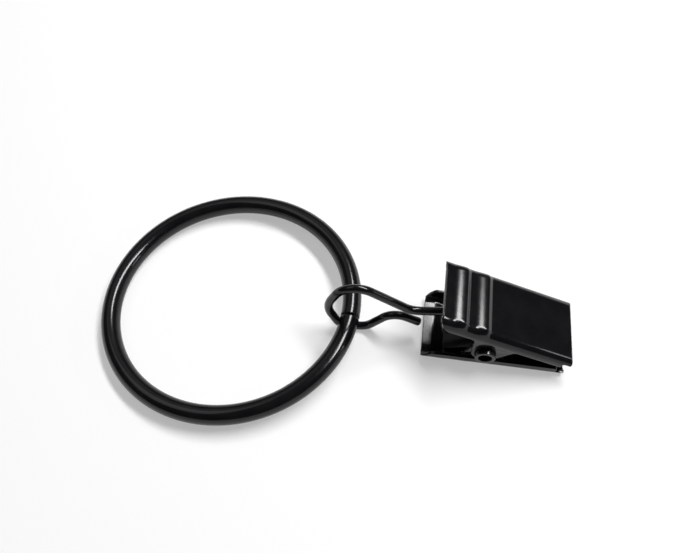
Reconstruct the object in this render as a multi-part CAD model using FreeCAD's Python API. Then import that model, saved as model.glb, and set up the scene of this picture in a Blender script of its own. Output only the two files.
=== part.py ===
import FreeCAD, Part
import math
import os
from FreeCAD import Vector

# Curtain ring with clip, lying on a table. X runs from the ring to the clip's tip, Z is up, in mm.

# Ring of round wire, lifted on one side by the hook that passes under it
RING_BORE = 38.0
RING_WIRE = 3.16
RING_SEAM = 0.16
RING_SEAM_EDGE = 0.22
RING_REST_GAP = 0.2

# Jaws of bent sheet: along the plate from the handle's end, and inwards from its outer face
SHEET = 0.55
JAW_LENGTH = 22.8
JAW_WIDTH = 12.0
JAW_BEND = 1.6
JAW_ANGLE = 21.0
JAW_GAP = 0.06
PIVOT_ALONG = 9.75
PIVOT_DEEP = 4.63
FLANGE_DEEP = 1.8
NESTED_FLANGE_DEEP = 2.4
FLANGE_START = 1.5
FLANGE_CORNER = 1.2
HANDLE_CORNER = 0.5
TIP_CORNER = 0.5
TIP_BEND = 0.7
LIP_MARGIN = 0.05
LIP_EDGE = 0.12
NOTCH = 1.4
NOTCH_DEEP = 0.95
NOTCH_BEND = 0.3
EAR_CLEAR = 0.12
EAR_DEEP = PIVOT_DEEP - NESTED_FLANGE_DEEP - EAR_CLEAR
EAR_BASE = 3.5
EAR_FOOT = 1.55
EAR_FILLET = 0.9
EAR_GAP = 0.06
RIB_PLACES = (3.15, 7.0)
RIB_HIGH = 0.38
RIB_WIDE = 1.85
RIB_MARGIN = 0.05
RIB_HALF = JAW_WIDTH / 2 - JAW_BEND - RIB_MARGIN

# Hook of bent wire, standing upright and a little askew of the clip
HOOK_WIRE = 1.4
HOOK_YAW = 3.5
HOOK_EYE_TURN = 288.0
HOOK_NECK_BEND = 3.57
HOOK_TOP_BEND = 3.65
HOOK_NOSE_BEND = 5.77
HOOK_FOOT_BEND = 2.44
HOOK_HEEL_BEND = 2.42
HOOK_HUMP_BEND = 2.77
HOOK_END_EDGE = 0.25
# bend centres, measured along the hook from the handle's end and up from the table
HOOK_NECK = (-1.13, 10.37)
HOOK_TOP = (-11.0, 8.92)
HOOK_NOSE = (-9.83, 6.47)
HOOK_FOOT = (-12.18, HOOK_FOOT_BEND + HOOK_WIRE / 2)
HOOK_HEEL = (-10.62, HOOK_HEEL_BEND + HOOK_WIRE / 2)
HOOK_HUMP = (-4.6, 2.24)
HOOK_END = (-0.81, 3.13)

# Spring of rolled strip, its barrel running through the ears as the pivot
BARREL = 3.2
BARREL_OUT = 0.8
STRIP = 0.52
HOLE_GAP = 0.05
EYE_GAP = 0.25
TAIL_PLACE = 3.6
TAIL_GAP = 0.05
TAIL_SIDE = 0.75
SLOT_GAP = 0.3
TAIL_HALF = JAW_WIDTH / 2 - 2 * SHEET - EAR_GAP - TAIL_SIDE
SLOT_HALF = HOOK_WIRE / 2 + SLOT_GAP + (PIVOT_ALONG - TAIL_PLACE) * math.tan(math.radians(HOOK_YAW))

# Place of the ring's wire in the hook, beyond the centre of the hook's foot bend
RING_PLACE = 0.07

X, Y, Z = Vector(1, 0, 0), Vector(0, 1, 0), Vector(0, 0, 1)
ORIGIN = Vector(0, 0, 0)


def rounded(corners, point):
    """Closed face through corners (a, b, radius), each placed in space by point(a, b)."""
    ends = []
    for i, (a, b, r) in enumerate(corners):
        here = Vector(a, b, 0)
        back = Vector(*corners[i - 1][:2], 0) - here
        ahead = Vector(*corners[(i + 1) % len(corners)][:2], 0) - here
        back.normalize()
        ahead.normalize()
        half = back.getAngle(ahead) / 2
        mid = back + ahead
        mid.normalize()
        reach = r / math.tan(half)
        top = here + mid * (r / math.sin(half) - r)
        ends.append((here + back * reach, top, here + ahead * reach, r))
    edges = []
    for i, (start, top, end, r) in enumerate(ends):
        a, m, b = (point(p.x, p.y) for p in (start, top, end))
        if r:
            edges.append(Part.Arc(a, m, b).toShape())
        following = point(ends[(i + 1) % len(ends)][0].x, ends[(i + 1) % len(ends)][0].y)
        if b.distanceToPoint(following) > 1e-6:
            edges.append(Part.makeLine(b, following))
    return Part.Face(Part.Wire(edges))


def side(a, b):
    """Point of a jaw seen from the side: along the plate, inwards from its outer face."""
    return Vector(a - PIVOT_ALONG, 0, b - PIVOT_DEEP)


def across(corners, half):
    """Prism of a side outline, reaching half to each side of the middle."""
    face = rounded(corners, side)
    face.translate(Y * -half)
    return face.extrude(Y * 2 * half)


def polar(centre, radius, angle):
    return centre + Vector(math.cos(angle), 0, math.sin(angle)) * radius


def bent_wire(pegs, start_angle, end, gauge):
    """Round wire led past pegs (x, z, radius, turn), turn 1 to the left and -1 to the right."""
    centres = [Vector(x, 0, z) for x, z, r, turn in pegs] + [Vector(end[0], 0, end[1])]
    signed = [r * turn for x, z, r, turn in pegs] + [0.0]
    leave, arrive = [], []
    for i in range(len(pegs)):
        step = centres[i + 1] - centres[i]
        heading = math.atan2(step.z, step.x) - math.asin((signed[i + 1] - signed[i]) / step.Length)
        left = heading + math.pi / 2
        leave.append(polar(centres[i], -signed[i], left))
        arrive.append(polar(centres[i + 1], -signed[i + 1], left))
    edges = []
    start = polar(centres[0], pegs[0][2], start_angle)
    for i, (x, z, r, turn) in enumerate(pegs):
        first, last = start - centres[i], leave[i] - centres[i]
        a = math.atan2(first.z, first.x)
        sweep = (turn * (math.atan2(last.z, last.x) - a)) % (2 * math.pi)
        edges.append(Part.Arc(start, polar(centres[i], r, a + turn * sweep / 2), leave[i]).toShape())
        edges.append(Part.makeLine(leave[i], arrive[i]))
        start = arrive[i]
    path = Part.Wire(edges)
    heading = polar(ORIGIN, 1, start_angle + pegs[0][3] * math.pi / 2)
    ring = Part.Wire(Part.makeCircle(gauge / 2, edges[0].Vertexes[0].Point, heading))
    return path.makePipeShell([ring], True, False)


def soften_ends(wire, gauge, radius):
    """Wire with the rims of its two flat ends rounded."""
    rims = []
    for face in wire.Faces:
        if isinstance(face.Surface, Part.Plane) and face.Area < 1.01 * math.pi * gauge ** 2 / 4:
            rims += face.Edges
    return wire.makeFillet(radius, rims)


def make_ring(pivot):
    """Ring lying with one side on the table and the other on the hook's foot."""
    radius = (RING_BORE + RING_WIRE) / 2
    slit = math.degrees(RING_SEAM / radius)
    section = Part.Face(Part.Wire(Part.makeCircle(RING_WIRE / 2, X * radius, Y)))
    ring = soften_ends(section.revolve(ORIGIN, Z, 360 - slit), RING_WIRE, RING_SEAM_EDGE)
    ring.rotate(ORIGIN, Z, slit / 2)
    lift = math.asin((HOOK_WIRE + RING_REST_GAP) / (2 * radius))
    ring.rotate(ORIGIN, Y, -math.degrees(lift))
    # turned so that its lifted side meets the hook, its centre straight behind the clip
    yaw = math.radians(HOOK_YAW)
    along = PIVOT_ALONG - HOOK_FOOT[0] + RING_PLACE
    turn = math.asin(along * math.sin(yaw) / (radius * math.cos(lift)))
    ring.rotate(ORIGIN, Z, -math.degrees(turn))
    back = along * math.cos(yaw) + radius * math.cos(lift) * math.cos(turn)
    ring.translate(Vector(pivot.x - back, pivot.y, RING_WIRE / 2 + radius * math.sin(lift)))
    return ring


def make_hook(pivot):
    """Hook standing on the table: eye, neck, top, nose, foot, heel and hump, then the free end."""
    bends = (
        (HOOK_NECK, HOOK_NECK_BEND, -1), (HOOK_TOP, HOOK_TOP_BEND, 1), (HOOK_NOSE, HOOK_NOSE_BEND, 1),
        (HOOK_FOOT, HOOK_FOOT_BEND, 1), (HOOK_HEEL, HOOK_HEEL_BEND, 1), (HOOK_HUMP, HOOK_HUMP_BEND, -1),
    )
    pegs = [(0.0, pivot.z, BARREL / 2 + EYE_GAP + HOOK_WIRE / 2, 1)]
    pegs += [(x - PIVOT_ALONG, z, bend, turn) for (x, z), bend, turn in bends]
    end = (HOOK_END[0] - PIVOT_ALONG, HOOK_END[1])
    wire = bent_wire(pegs, math.radians(90 - HOOK_EYE_TURN), end, HOOK_WIRE)
    hook = soften_ends(wire, HOOK_WIRE, HOOK_END_EDGE)
    hook.rotate(ORIGIN, Z, HOOK_YAW)
    hook.translate(Vector(pivot.x, pivot.y, 0))
    return hook


def rib(place, deep):
    """Wave of the plate along a rib, round at both ends, its foot deep below the outer face."""
    lean = math.atan(RIB_HIGH / RIB_WIDE)
    bend = RIB_WIDE / 2 / math.sin(2 * lean)
    out, drop = bend * math.sin(lean), bend * (1 - math.cos(lean))
    crest, bulge, flank, hollow, foot, under, core = (
        side(place + a, deep - b) for a, b in
        ((0, RIB_HIGH), (out, RIB_HIGH - drop), (RIB_WIDE / 2, RIB_HIGH / 2),
         (RIB_WIDE - out, drop), (RIB_WIDE, 0), (RIB_WIDE, -SHEET / 2), (0, -SHEET / 2)))
    edges = [Part.Arc(crest, bulge, flank).toShape(), Part.Arc(flank, hollow, foot).toShape()]
    edges += [Part.makeLine(*ends) for ends in ((foot, under), (under, core), (core, crest))]
    half = RIB_HALF - RIB_WIDE
    profile = Part.Face(Part.Wire(edges))
    profile.translate(Y * half)
    bar = profile.extrude(Y * -2 * half)
    cap = profile.revolve(crest + Y * half, Z, 360)
    return bar.fuse([bar.mirror(crest, X), cap, cap.mirror(ORIGIN, Y)])


def ear_outline(base, fillet):
    """Ear from its wide base to a round end about the pivot."""
    bottom = PIVOT_DEEP + EAR_DEEP
    steep = math.atan2(bottom - base, EAR_BASE - EAR_FOOT)
    end = EAR_FOOT / math.tan(steep / 2)
    return [
        (PIVOT_ALONG + EAR_BASE, base, fillet), (PIVOT_ALONG + EAR_FOOT, bottom, end),
        (PIVOT_ALONG - EAR_FOOT, bottom, end), (PIVOT_ALONG - EAR_BASE, base, fillet),
    ]


def make_jaw(nested):
    """Jaw about the pivot, plate downwards; a nested jaw has its ears set in by one sheet."""
    half = JAW_WIDTH / 2
    deep = PIVOT_DEEP + EAR_DEEP + SHEET
    bend, inside = JAW_BEND, JAW_BEND - SHEET
    inner = half - SHEET
    flange = NESTED_FLANGE_DEEP if nested else FLANGE_DEEP
    section = rounded(
        [(-half, 0, bend), (half, 0, bend), (half, deep, 0), (inner, deep, 0),
         (inner, SHEET, inside), (-inner, SHEET, inside), (-inner, deep, 0), (-half, deep, 0)],
        lambda a, b: Vector(-PIVOT_ALONG, a, b - PIVOT_DEEP))
    channel = section.extrude(X * JAW_LENGTH)
    ears = [] if nested else ear_outline(flange, EAR_FILLET)
    notch = JAW_LENGTH - NOTCH
    outline = [(0, 0, 0), (JAW_LENGTH, 0, TIP_BEND), (JAW_LENGTH, NOTCH_DEEP, 0),
               (notch, NOTCH_DEEP, NOTCH_BEND), (notch, flange, NOTCH_BEND)]
    outline += ears + [(FLANGE_START, flange, FLANGE_CORNER), (0, SHEET, 0)]
    plan = rounded(
        [(0, -half, HANDLE_CORNER), (JAW_LENGTH, -half, TIP_CORNER),
         (JAW_LENGTH, half, TIP_CORNER), (0, half, HANDLE_CORNER)],
        lambda a, b: Vector(a - PIVOT_ALONG, b, -PIVOT_DEEP))
    jaw = channel.common(across(outline, half)).common(plan.extrude(Z * deep))

    jaw = jaw.fuse([rib(place, 0) for place in RIB_PLACES])
    jaw = jaw.cut([rib(place, SHEET) for place in RIB_PLACES])

    meet = PIVOT_DEEP - (JAW_LENGTH - PIVOT_ALONG) * math.tan(math.radians(JAW_ANGLE / 2))
    lip_deep = meet - JAW_GAP / 2
    back, bent = JAW_LENGTH - SHEET, JAW_LENGTH - TIP_BEND
    lip = [(bent, 0, 0), (JAW_LENGTH, 0, TIP_BEND), (JAW_LENGTH, lip_deep, LIP_EDGE),
           (back, lip_deep, LIP_EDGE), (back, SHEET, 0), (bent, SHEET, 0)]
    jaw = jaw.fuse(across(lip, half - JAW_BEND - LIP_MARGIN))

    if nested:
        outer = inner - EAR_GAP
        base = flange - SHEET
        step = [(PIVOT_ALONG + a, b, 0) for a, b in
                ((EAR_BASE, base), (-EAR_BASE, base), (-EAR_BASE, flange), (EAR_BASE, flange))]
        room = Part.makeBox(JAW_LENGTH, 2 * (outer - SHEET), deep, side(0, 0) - Y * (outer - SHEET))
        ear = across(ear_outline(base, 0), outer).cut(room)
        shelf = across(step, half - SHEET / 2).cut(room)
        jaw = jaw.fuse([ear, shelf])
    jaw = jaw.cut(Part.makeCylinder(BARREL / 2 + HOLE_GAP, JAW_WIDTH, Y * -half, Y))
    return jaw.removeSplitter()


def make_spring():
    """Spring about the pivot: the barrel and a slotted tail to each handle."""
    half = JAW_WIDTH / 2 + BARREL_OUT
    barrel = Part.makeCylinder(BARREL / 2, 2 * half, Y * -half, Y)
    barrel = barrel.cut(Part.makeCylinder(BARREL / 2 - STRIP, 2 * half, Y * -half, Y))
    end = side(TAIL_PLACE, SHEET + TAIL_GAP)
    reach = math.sqrt(end.Length ** 2 - BARREL ** 2 / 4)
    slope = math.atan2(-end.z, -end.x) - math.asin(BARREL / 2 / end.Length)
    along, inward = polar(ORIGIN, 1, slope), polar(ORIGIN, 1, slope + math.pi / 2)
    root = end + along * reach
    strip = Part.Face(Part.makePolygon([end, root, root + inward * STRIP, end + inward * STRIP, end]))
    legs = []
    for w in (SLOT_HALF, -TAIL_HALF):
        leg = strip.extrude(Y * (TAIL_HALF - SLOT_HALF))
        leg.translate(Y * w)
        legs += [leg, leg.mirror(ORIGIN, polar(ORIGIN, 1, math.radians(90 - JAW_ANGLE / 2)))]
    return barrel.fuse(legs).removeSplitter()


def main():
    # the lower jaw stands on its inner rib and on the bend at its tip
    stance = JAW_LENGTH - TIP_BEND
    tilt = math.atan(RIB_HIGH / (stance - RIB_PLACES[1]))
    high = (stance - PIVOT_ALONG) * math.sin(tilt) + PIVOT_DEEP * math.cos(tilt)
    pivot = Vector(0, 0, high)

    lower, upper, spring = make_jaw(True), make_jaw(False), make_spring()
    upper.rotate(ORIGIN, X, 180)
    upper.rotate(ORIGIN, Y, JAW_ANGLE)
    pieces = {"ring": make_ring(pivot), "hook": make_hook(pivot)}
    for name, piece in (("lower_jaw", lower), ("upper_jaw", upper), ("spring", spring)):
        piece.rotate(ORIGIN, Y, math.degrees(tilt))
        piece.translate(pivot)
        pieces[name] = piece

    box = FreeCAD.BoundBox()
    for piece in pieces.values():
        box.add(piece.optimalBoundingBox(False, False))
    os.makedirs("parts", exist_ok=True)
    for name, piece in pieces.items():
        piece.translate(Vector(-box.Center.x, 0, 0))
        piece.exportStep("parts/%s.step" % name)


main()
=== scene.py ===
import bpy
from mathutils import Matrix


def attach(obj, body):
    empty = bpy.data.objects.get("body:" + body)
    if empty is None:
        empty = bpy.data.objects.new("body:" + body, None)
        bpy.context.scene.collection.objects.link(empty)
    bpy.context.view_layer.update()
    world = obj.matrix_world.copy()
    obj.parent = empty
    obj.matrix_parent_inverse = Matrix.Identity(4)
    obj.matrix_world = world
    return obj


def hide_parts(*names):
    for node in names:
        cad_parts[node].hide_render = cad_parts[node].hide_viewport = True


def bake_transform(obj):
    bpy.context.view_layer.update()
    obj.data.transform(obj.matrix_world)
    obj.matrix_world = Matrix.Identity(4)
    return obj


bl_info = {
    "name": "Curtain ring with clip",
    "version": (1, 0, 0),
    "blender": (4, 5, 0),
    "location": "View3D > Sidebar > Curtain ring",
    "description": "Gloss black paint, pressed jaws, table, light and camera of a curtain ring",
    "category": "Object",
}

import math

import bpy
from bpy.props import FloatProperty, FloatVectorProperty, IntProperty, PointerProperty
from bpy.types import Operator, Panel, PropertyGroup
from mathutils import Matrix, Vector

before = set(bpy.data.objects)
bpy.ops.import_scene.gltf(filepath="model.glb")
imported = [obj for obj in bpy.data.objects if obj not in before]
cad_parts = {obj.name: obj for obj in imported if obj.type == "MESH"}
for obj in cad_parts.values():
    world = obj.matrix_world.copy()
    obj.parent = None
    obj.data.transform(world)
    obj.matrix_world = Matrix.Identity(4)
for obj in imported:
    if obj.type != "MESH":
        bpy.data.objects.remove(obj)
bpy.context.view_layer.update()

# Width of the picture (px) and of the sensor (mm), nearest and farthest things in view (m).
PHOTO_WIDTH = 679
SENSOR_WIDTH = 36.0
CLIP_START = 0.005
CLIP_END = 10.0

# Points nearer than this are joined (m).
MERGE_DISTANCE = 1e-6
# An edge that turns more than the first angle is rounded, and less than the second is shaded smooth.
CORNER_ANGLE = math.radians(40)
SMOOTH_ANGLE = math.radians(35)

# Shift of the paint's pattern on each piece (m), so that no two pieces match.
PAINT_SHIFT = {"ring": 0.0, "hook": 0.013, "lower_jaw": 0.027, "upper_jaw": 0.041, "spring": 0.059}
# Detail of each noise in the paint, and the values of the noise between which the paint changes.
POOL_DETAIL = 3.0
POOL_THICK, POOL_THIN = 0.38, 0.68
HAZE_DETAIL = 4.0
HAZE_LOW, HAZE_HIGH = 0.3, 0.7
PEEL_DETAIL = 1.0
# Dull patches to each dimple of the orange peel.
HAZE_PER_PEEL = 0.6

# Grip waves: foot, crest and lower end, from the end of the handle (m).
WAVES = ((0.0014, 0.0034, 0.0044), (0.0052, 0.0072, 0.0082))
WAVE_CUTS = 60
# Shares of the sheet's thickness: length of a handle's very end, depth of the sheet, its outer skin.
HANDLE_END = 0.1
SHEET_DEPTH = 1.1
OUTER_SKIN = 0.125

TABLE_SIDES = 128
COVE_STEPS = 8
# The glow of the table rises from this distance (m) to a share of the radius, where it is this white.
GLOW_START = 0.12
GLOW_END_SHARE = 0.75
TABLE_WHITE = 0.97
# The white that gloss shows of the room fades out between these angles above the table.
WALL_FADE_START = math.radians(4)
WALL_FADE_END = math.radians(13)

LIGHT_DISTANCE = 0.5
# Soft boxes: name, azimuth, elevation (degrees), tall, wide (m), power (W).
LIGHTS = (
    ("key_strip", 43, 60, 0.085, 0.40, 3.0),
    ("hook_light", 5, 24, 0.07, 0.07, 0.12),
    ("left_fill", 170, 62, 0.22, 0.27, 0.17),
    ("back_fill", 120, 52, 0.27, 0.36, 0.09),
)


class PaintSettings(PropertyGroup):
    """Gloss black paint of the metal."""

    # Both paint colours hold a faint blue cast, a painted reflection of a bluish room, over the near
    # black of the paint itself.
    colour: FloatVectorProperty(
        name="Colour", description="Colour of the paint where it is thick",
        subtype="COLOR", size=3, min=0, max=1, default=(0.0042, 0.0041, 0.0050))
    thin_colour: FloatVectorProperty(
        name="Thin colour", description="Colour of the paint where it is thin",
        subtype="COLOR", size=3, min=0, max=1, default=(0.0068, 0.0066, 0.0074))
    roughness: FloatProperty(
        name="Roughness", description="Roughness of the smoothest paint",
        subtype="FACTOR", min=0, max=1, default=0.145)
    roughness_spread: FloatProperty(
        name="Roughness spread", description="Roughness that the dullest paint has on top of that",
        subtype="FACTOR", min=0, max=1, default=0.035)
    gloss: FloatProperty(
        name="Gloss", description="Strength of the reflection, half for a plain varnish",
        subtype="FACTOR", min=0, max=1, default=0.36)
    pool_size: FloatProperty(
        name="Pools", description="Width of the patches in which the paint is thick or thin",
        unit="LENGTH", default=0.0032)
    peel_size: FloatProperty(
        name="Orange peel", description="Width of the dimples in the skin of the paint",
        unit="LENGTH", default=0.00055)
    peel_depth: FloatProperty(
        name="Orange peel depth", description="Depth of the dimples in the skin of the paint",
        unit="LENGTH", default=0.0000035)


class SheetSettings(PropertyGroup):
    """Pressed sheet of the jaws and rolled strip of the spring."""

    sheet_edge: FloatProperty(
        name="Sheet edge", description="Width of the rounding along the edges of the jaws",
        unit="LENGTH", default=0.00008)
    strip_edge: FloatProperty(
        name="Strip edge", description="Width of the rounding along the edges of the spring",
        unit="LENGTH", default=0.00006)
    segments: IntProperty(
        name="Segments", description="Faces across a rounded edge", min=1, default=3)
    jaw_lean: FloatProperty(
        name="Lean", description="Lean from the table of the plane halfway between the jaws",
        subtype="ANGLE", default=math.radians(11.94))
    jaw_angle: FloatProperty(
        name="Jaw angle", description="Angle between the two jaws",
        subtype="ANGLE", default=math.radians(21))
    width: FloatProperty(
        name="Jaw width", description="Width of a jaw", unit="LENGTH", default=0.012)
    bend: FloatProperty(
        name="Bend", description="Outer radius of the bends along a jaw",
        unit="LENGTH", default=0.0016)
    thick: FloatProperty(
        name="Sheet", description="Thickness of the sheet", unit="LENGTH", default=0.00055)
    wave_height: FloatProperty(
        name="Waves", description="Height of the grip waves across a handle",
        unit="LENGTH", default=0.00037)
    barrel_radius: FloatProperty(
        name="Barrel", description="Radius of the spring's barrel",
        unit="LENGTH", default=0.0016)


class StageSettings(PropertyGroup):
    """Table, light and camera."""

    table_colour: FloatVectorProperty(
        name="Table", description="Colour of the table",
        subtype="COLOR", size=3, min=0, max=1, default=(0.58, 0.58, 0.58))
    table_glow: FloatProperty(
        name="Table glow", description="White that the table shows to the camera and in gloss",
        subtype="FACTOR", min=0, max=1, default=0.40)
    table_radius: FloatProperty(
        name="Table radius", description="Radius of the flat of the table",
        unit="LENGTH", default=0.6)
    cove_width: FloatProperty(
        name="Cove", description="Width of the curve at the rim of the table",
        unit="LENGTH", default=0.3)
    cove_height: FloatProperty(
        name="Cove height", description="Height of the rim of the table",
        unit="LENGTH", default=0.08)
    room_grey: FloatProperty(
        name="Room", description="Grey of the room round the table",
        subtype="FACTOR", min=0, max=1, default=0.04)
    view_elevation: FloatProperty(
        name="Elevation", description="Angle of the view above the table",
        subtype="ANGLE", default=math.radians(57.8))
    view_azimuth: FloatProperty(
        name="Azimuth", description="Turn of the view about the upright axis",
        subtype="ANGLE", default=math.radians(10.98))
    view_roll: FloatProperty(
        name="Roll", description="Turn of the camera about its own axis",
        subtype="ANGLE", default=math.radians(3.36))
    view_distance: FloatProperty(
        name="Distance", description="From the camera to the point that it looks at",
        unit="LENGTH", default=0.12025)
    view_point: FloatVectorProperty(
        name="Looks at", description="Point of the table in the middle of the picture",
        subtype="TRANSLATION", size=3, default=(0.00035, 0.00839, 0.0))
    focal_pixels: FloatProperty(
        name="Focal length", description="Focal length in pixels of the picture",
        subtype="PIXEL", default=680.0)


def noise(nodes, links, place, scale, detail):
    """Noise over the places of a surface."""
    texture = nodes.new("ShaderNodeTexNoise")
    texture.inputs["Scale"].default_value = scale
    texture.inputs["Detail"].default_value = detail
    links.new(place, texture.inputs["Vector"])
    return texture.outputs["Fac"]


def gloss_paint(node, paint):
    """Black paint that lies thick and thin in patches, with fine orange peel in its skin."""
    material = bpy.data.materials.new("%s_gloss" % node)
    material.use_nodes = True
    nodes, links = material.node_tree.nodes, material.node_tree.links
    shader = nodes["Principled BSDF"]
    shader.inputs["Specular IOR Level"].default_value = paint.gloss
    place = nodes.new("ShaderNodeTexCoord")
    moved = nodes.new("ShaderNodeMapping")
    shift = PAINT_SHIFT[node]
    moved.inputs["Location"].default_value = (shift, -shift, 2 * shift)
    links.new(place.outputs["Object"], moved.inputs["Vector"])
    spot = moved.outputs["Vector"]

    pools = noise(nodes, links, spot, 1 / paint.pool_size, POOL_DETAIL)
    # The thick and thin colours both carry a painted bluish reflection over the black of the paint.
    tint = nodes.new("ShaderNodeValToRGB")
    thick, thin = tint.color_ramp.elements
    thick.position, thick.color = POOL_THICK, (*paint.colour, 1)
    thin.position, thin.color = POOL_THIN, (*paint.thin_colour, 1)
    links.new(pools, tint.inputs["Fac"])
    links.new(tint.outputs["Color"], shader.inputs["Base Color"])

    haze = noise(nodes, links, spot, HAZE_PER_PEEL / paint.peel_size, HAZE_DETAIL)
    dull = nodes.new("ShaderNodeMapRange")
    dull.inputs["From Min"].default_value = HAZE_LOW
    dull.inputs["From Max"].default_value = HAZE_HIGH
    dull.inputs["To Min"].default_value = paint.roughness
    dull.inputs["To Max"].default_value = paint.roughness + paint.roughness_spread
    links.new(haze, dull.inputs["Value"])
    links.new(dull.outputs["Result"], shader.inputs["Roughness"])

    peel = noise(nodes, links, spot, 1 / paint.peel_size, PEEL_DETAIL)
    skin = nodes.new("ShaderNodeBump")
    skin.inputs["Strength"].default_value = 1.0
    skin.inputs["Distance"].default_value = paint.peel_depth
    links.new(peel, skin.inputs["Height"])
    links.new(skin.outputs["Normal"], shader.inputs["Normal"])
    return material


def paint_node(node, paint):
    """Paint a CAD node in its own slot."""
    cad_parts[node].material_slots[0].material = gloss_paint(node, paint)


def paint_piece(piece, node, paint):
    """Paint a new piece that stands for a CAD node."""
    piece.data.materials.clear()
    piece.data.materials.append(gloss_paint(node, paint))


def merged_copy(name, node):
    """Copy of a CAD node with its loose triangles joined."""
    bpy.ops.object.select_all(action="DESELECT")
    piece = bpy.data.objects.new(name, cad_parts[node].data.copy())
    bpy.context.scene.collection.objects.link(piece)
    piece.select_set(True)
    bpy.context.view_layer.objects.active = piece
    bpy.ops.mesh.customdata_custom_splitnormals_clear()
    bpy.ops.object.mode_set(mode="EDIT")
    bpy.ops.mesh.select_all(action="SELECT")
    bpy.ops.mesh.remove_doubles(threshold=MERGE_DISTANCE)
    bpy.ops.mesh.normals_make_consistent(inside=False)
    bpy.ops.object.mode_set(mode="OBJECT")
    if not piece.data.polygons:
        raise RuntimeError("%s has no faces" % name)
    return piece


def soften_edges(piece, edge, segments):
    """Round the sharp edges of a piece, as pressed and painted metal has them."""
    bevel = piece.modifiers.new("edges", "BEVEL")
    bevel.width = edge
    bevel.segments = segments
    bevel.limit_method = "ANGLE"
    bevel.angle_limit = CORNER_ANGLE
    bevel.use_clamp_overlap = False
    bevel.loop_slide = False
    bpy.ops.object.modifier_apply(modifier=bevel.name)
    bpy.ops.object.shade_smooth_by_angle(angle=SMOOTH_ANGLE)
    even = piece.modifiers.new("even", "WEIGHTED_NORMAL")
    even.keep_sharp = True
    bpy.ops.object.modifier_apply(modifier=even.name)


def wave(place):
    """Height of the grip waves, from nought to one, at a distance from the end of the handle."""
    for foot, crest, end in WAVES:
        if foot < place <= crest:
            return (1 - math.cos(math.pi * (place - foot) / (crest - foot))) / 2
        if crest < place < end:
            return (1 - math.cos(math.pi * (end - place) / (end - crest))) / 2
    return 0.0


def press_waves(piece, lean, side, sheet):
    """Press two grip waves across the handle and its bends, in place of the solid's short ribs."""
    along = Vector((math.cos(lean), 0, -math.sin(lean)))
    out = side * Vector((math.sin(lean), 0, math.cos(lean)))
    start = min(vertex.co.dot(along) for vertex in piece.data.vertices)
    level = max(vertex.co.dot(out) for vertex in piece.data.vertices
                if vertex.co.dot(along) - start < HANDLE_END * sheet.thick)
    flat = sheet.width / 2 - sheet.bend
    first, last = WAVES[0][0], WAVES[-1][-1]
    # Both faces of the sheet go back to flat where the ribs were.
    for vertex in piece.data.vertices:
        place, high = vertex.co.dot(along) - start, vertex.co.dot(out) - level
        ribbed = first < place < last + sheet.thick and abs(vertex.co.y) <= flat
        if ribbed and high > -SHEET_DEPTH * sheet.thick:
            outer = high > -OUTER_SKIN * sheet.thick
            vertex.co -= out * (high if outer else high + sheet.thick)
    bpy.ops.object.mode_set(mode="EDIT")
    for step in range(WAVE_CUTS + 1):
        place = start + first + (last - first) * step / WAVE_CUTS
        bpy.ops.mesh.select_all(action="SELECT")
        bpy.ops.mesh.bisect(plane_co=along * place, plane_no=along, threshold=MERGE_DISTANCE)
    bpy.ops.object.mode_set(mode="OBJECT")
    # The waves fade out round the bends.
    for vertex in piece.data.vertices:
        place, high = vertex.co.dot(along) - start, vertex.co.dot(out) - level
        turn = math.atan2(max(0, abs(vertex.co.y) - flat), max(0, high + sheet.bend))
        vertex.co += out * (sheet.wave_height * wave(place) * max(0, math.cos(turn)) ** 2)


class CURTAINRING_OT_ring(Operator):
    """Paint the ring"""

    bl_idname = "curtainring.ring"
    bl_label = "Ring"

    def execute(self, context):
        paint_node("ring", context.scene.curtainring_paint)
        return {"FINISHED"}


class CURTAINRING_OT_hook(Operator):
    """Paint the bent wire hook"""

    bl_idname = "curtainring.hook"
    bl_label = "Hook"

    def execute(self, context):
        paint_node("hook", context.scene.curtainring_paint)
        return {"FINISHED"}


class CURTAINRING_OT_jaws(Operator):
    """Make the two pressed jaws with their grip waves and paint them"""

    bl_idname = "curtainring.jaws"
    bl_label = "Jaws"

    def execute(self, context):
        sheet, paint = context.scene.curtainring_sheet, context.scene.curtainring_paint
        for node, body, side in (("lower_jaw", "clip", -1), ("upper_jaw", "jaw", 1)):
            piece = merged_copy("%s_sheet" % node, node)
            press_waves(piece, sheet.jaw_lean + side * sheet.jaw_angle / 2, side, sheet)
            soften_edges(piece, sheet.sheet_edge, sheet.segments)
            paint_piece(piece, node, paint)
            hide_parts(node)
            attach(piece, body)
        return {"FINISHED"}


class CURTAINRING_OT_spring(Operator):
    """Make the rolled spring and paint it"""

    bl_idname = "curtainring.spring"
    bl_label = "Spring"

    def execute(self, context):
        sheet, paint = context.scene.curtainring_sheet, context.scene.curtainring_paint
        piece = merged_copy("spring_strip", "spring")
        soften_edges(piece, sheet.strip_edge, sheet.segments)
        paint_piece(piece, "spring", paint)
        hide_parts("spring")
        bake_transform(piece)
        return {"FINISHED"}


def combined(nodes, links, operation, first, second):
    """Product or larger of two values, as the operation says."""
    both = nodes.new("ShaderNodeMath")
    both.operation = operation
    links.new(first, both.inputs[0])
    links.new(second, both.inputs[1])
    return both.outputs["Value"]


def seen_ray(nodes, links, *kinds):
    """One for the kinds of ray that show a thing, nought for the others."""
    path = nodes.new("ShaderNodeLightPath")
    seen, *others = (path.outputs["Is %s Ray" % kind] for kind in kinds)
    for other in others:
        seen = combined(nodes, links, "MAXIMUM", seen, other)
    return seen


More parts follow.
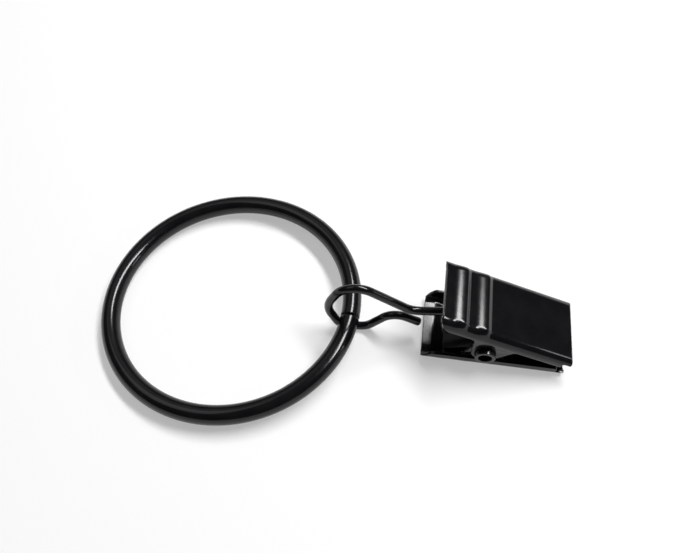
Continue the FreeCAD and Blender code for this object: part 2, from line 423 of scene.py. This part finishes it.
def table_white(stage):
    """Matt white of the table, which glows to the camera and in gloss, more where less lit."""
    material = bpy.data.materials.new("table_white")
    material.use_nodes = True
    nodes, links = material.node_tree.nodes, material.node_tree.links
    shader = nodes["Principled BSDF"]
    shader.inputs["Base Color"].default_value = (*stage.table_colour, 1)
    shader.inputs["Roughness"].default_value = 1.0
    shader.inputs["Specular IOR Level"].default_value = 0.0
    shader.inputs["Emission Color"].default_value = (1, 1, 1, 1)
    place = nodes.new("ShaderNodeTexCoord")
    out = nodes.new("ShaderNodeVectorMath")
    out.operation = "LENGTH"
    links.new(place.outputs["Object"], out.inputs[0])
    glow = nodes.new("ShaderNodeMapRange")
    glow.interpolation_type = "SMOOTHSTEP"
    glow.inputs["From Min"].default_value = GLOW_START
    glow.inputs["From Max"].default_value = GLOW_END_SHARE * stage.table_radius
    glow.inputs["To Min"].default_value = stage.table_glow
    glow.inputs["To Max"].default_value = TABLE_WHITE
    links.new(out.outputs["Value"], glow.inputs["Value"])
    seen = seen_ray(nodes, links, "Camera", "Glossy", "Transmission")
    strength = combined(nodes, links, "MULTIPLY", seen, glow.outputs["Result"])
    links.new(strength, shader.inputs["Emission Strength"])
    return material


def cove_table(stage):
    """Round table whose rim curves up."""
    bpy.ops.object.select_all(action="DESELECT")
    bpy.ops.mesh.primitive_circle_add(
        vertices=TABLE_SIDES, radius=stage.table_radius, fill_type="NGON")
    table = bpy.context.object
    table.name = "table"
    bpy.ops.object.mode_set(mode="EDIT")
    bpy.ops.mesh.select_all(action="SELECT")
    bpy.ops.mesh.region_to_loop()
    out, up = stage.table_radius, 0.0
    for step in range(1, COVE_STEPS + 1):
        angle = step / COVE_STEPS * math.pi / 2
        next_out = stage.table_radius + stage.cove_width * math.sin(angle)
        next_up = stage.cove_height * (1 - math.cos(angle))
        bpy.ops.mesh.extrude_edges_move(TRANSFORM_OT_translate={"value": (0, 0, next_up - up)})
        grow = next_out / out
        bpy.ops.transform.resize(value=(grow, grow, 1), center_override=(0, 0, 0))
        out, up = next_out, next_up
    bpy.ops.object.mode_set(mode="OBJECT")
    bpy.ops.object.shade_smooth_by_angle(angle=SMOOTH_ANGLE)
    table.data.materials.append(table_white(stage))
    return table


def studio_room(stage):
    """Dark room that is white to the camera and, just above the table, in gloss."""
    world = bpy.data.worlds.new("studio_room")
    world.use_nodes = True
    nodes, links = world.node_tree.nodes, world.node_tree.links
    place = nodes.new("ShaderNodeTexCoord")
    parts = nodes.new("ShaderNodeSeparateXYZ")
    links.new(place.outputs["Generated"], parts.inputs["Vector"])
    wall = nodes.new("ShaderNodeMapRange")
    wall.interpolation_type = "SMOOTHSTEP"
    wall.inputs["From Min"].default_value = math.sin(WALL_FADE_START)
    wall.inputs["From Max"].default_value = math.sin(WALL_FADE_END)
    wall.inputs["To Min"].default_value = 1.0
    wall.inputs["To Max"].default_value = 0.0
    links.new(parts.outputs["Z"], wall.inputs["Value"])
    mirrored = seen_ray(nodes, links, "Glossy", "Transmission")
    gloss = combined(nodes, links, "MULTIPLY", mirrored, wall.outputs["Result"])
    white = combined(nodes, links, "MAXIMUM", gloss, seen_ray(nodes, links, "Camera"))
    mixed = nodes.new("ShaderNodeMix")
    mixed.data_type = "RGBA"
    mixed.inputs["A"].default_value = (stage.room_grey, stage.room_grey, stage.room_grey, 1)
    mixed.inputs["B"].default_value = (1, 1, 1, 1)
    links.new(white, mixed.inputs["Factor"])
    links.new(mixed.outputs["Result"], nodes["Background"].inputs["Color"])
    return world


def soft_box(name, azimuth, elevation, tall, wide, power):
    """Area light that faces the middle of the part."""
    light = bpy.data.lights.new(name, "AREA")
    light.shape = "RECTANGLE"
    light.size, light.size_y, light.energy = tall, wide, power
    lamp = bpy.data.objects.new(name, light)
    bpy.context.scene.collection.objects.link(lamp)
    turn = (Matrix.Rotation(math.radians(azimuth), 4, "Z")
            @ Matrix.Rotation(math.radians(90 - elevation), 4, "Y"))
    lamp.matrix_world = turn @ Matrix.Translation((0, 0, LIGHT_DISTANCE))


def place_camera(scene, stage):
    """Camera that looks down on the table."""
    lens = bpy.data.cameras.new("camera")
    lens.sensor_width = SENSOR_WIDTH
    lens.lens = SENSOR_WIDTH * stage.focal_pixels / PHOTO_WIDTH
    lens.clip_start, lens.clip_end = CLIP_START, CLIP_END
    camera = bpy.data.objects.new("camera", lens)
    scene.collection.objects.link(camera)
    turn = (Matrix.Rotation(stage.view_azimuth, 4, "Z")
            @ Matrix.Rotation(math.pi / 2 - stage.view_elevation, 4, "X")
            @ Matrix.Rotation(-stage.view_roll, 4, "Z"))
    aim = Matrix.Translation(stage.view_point)
    camera.matrix_world = aim @ turn @ Matrix.Translation((0, 0, stage.view_distance))
    scene.camera = camera


class CURTAINRING_OT_stage(Operator):
    """Set the table, light and camera"""

    bl_idname = "curtainring.stage"
    bl_label = "Stage"

    def execute(self, context):
        stage = context.scene.curtainring_stage
        table = cove_table(stage)
        context.scene.world = studio_room(stage)
        for light in LIGHTS:
            soft_box(*light)
        place_camera(context.scene, stage)
        context.scene.view_settings.view_transform = "Standard"
        return {"FINISHED"}


OPERATORS = (CURTAINRING_OT_ring, CURTAINRING_OT_hook, CURTAINRING_OT_jaws, CURTAINRING_OT_spring,
             CURTAINRING_OT_stage)


class CURTAINRING_PT_panel(Panel):
    """Steps that make the curtain ring, with the sizes and colours that they use"""

    bl_idname = "CURTAINRING_PT_panel"
    bl_label = "Curtain ring"
    bl_space_type = "VIEW_3D"
    bl_region_type = "UI"
    bl_category = "Curtain ring"

    def draw(self, context):
        for operator in OPERATORS:
            self.layout.operator(operator.bl_idname)
        scene = context.scene
        for settings in (scene.curtainring_paint, scene.curtainring_sheet, scene.curtainring_stage):
            box = self.layout.box()
            for name in type(settings).__annotations__:
                box.prop(settings, name)


CLASSES = (PaintSettings, SheetSettings, StageSettings, *OPERATORS, CURTAINRING_PT_panel)


def register():
    for cls in CLASSES:
        bpy.utils.register_class(cls)
    bpy.types.Scene.curtainring_paint = PointerProperty(type=PaintSettings)
    bpy.types.Scene.curtainring_sheet = PointerProperty(type=SheetSettings)
    bpy.types.Scene.curtainring_stage = PointerProperty(type=StageSettings)


def unregister():
    del bpy.types.Scene.curtainring_stage
    del bpy.types.Scene.curtainring_sheet
    del bpy.types.Scene.curtainring_paint
    for cls in reversed(CLASSES):
        bpy.utils.unregister_class(cls)


def main():
    register()
    bpy.ops.curtainring.ring()
    bpy.ops.curtainring.hook()
    bpy.ops.curtainring.jaws()
    bpy.ops.curtainring.spring()
    bpy.ops.curtainring.stage()


if __name__ == "__main__":
    main()
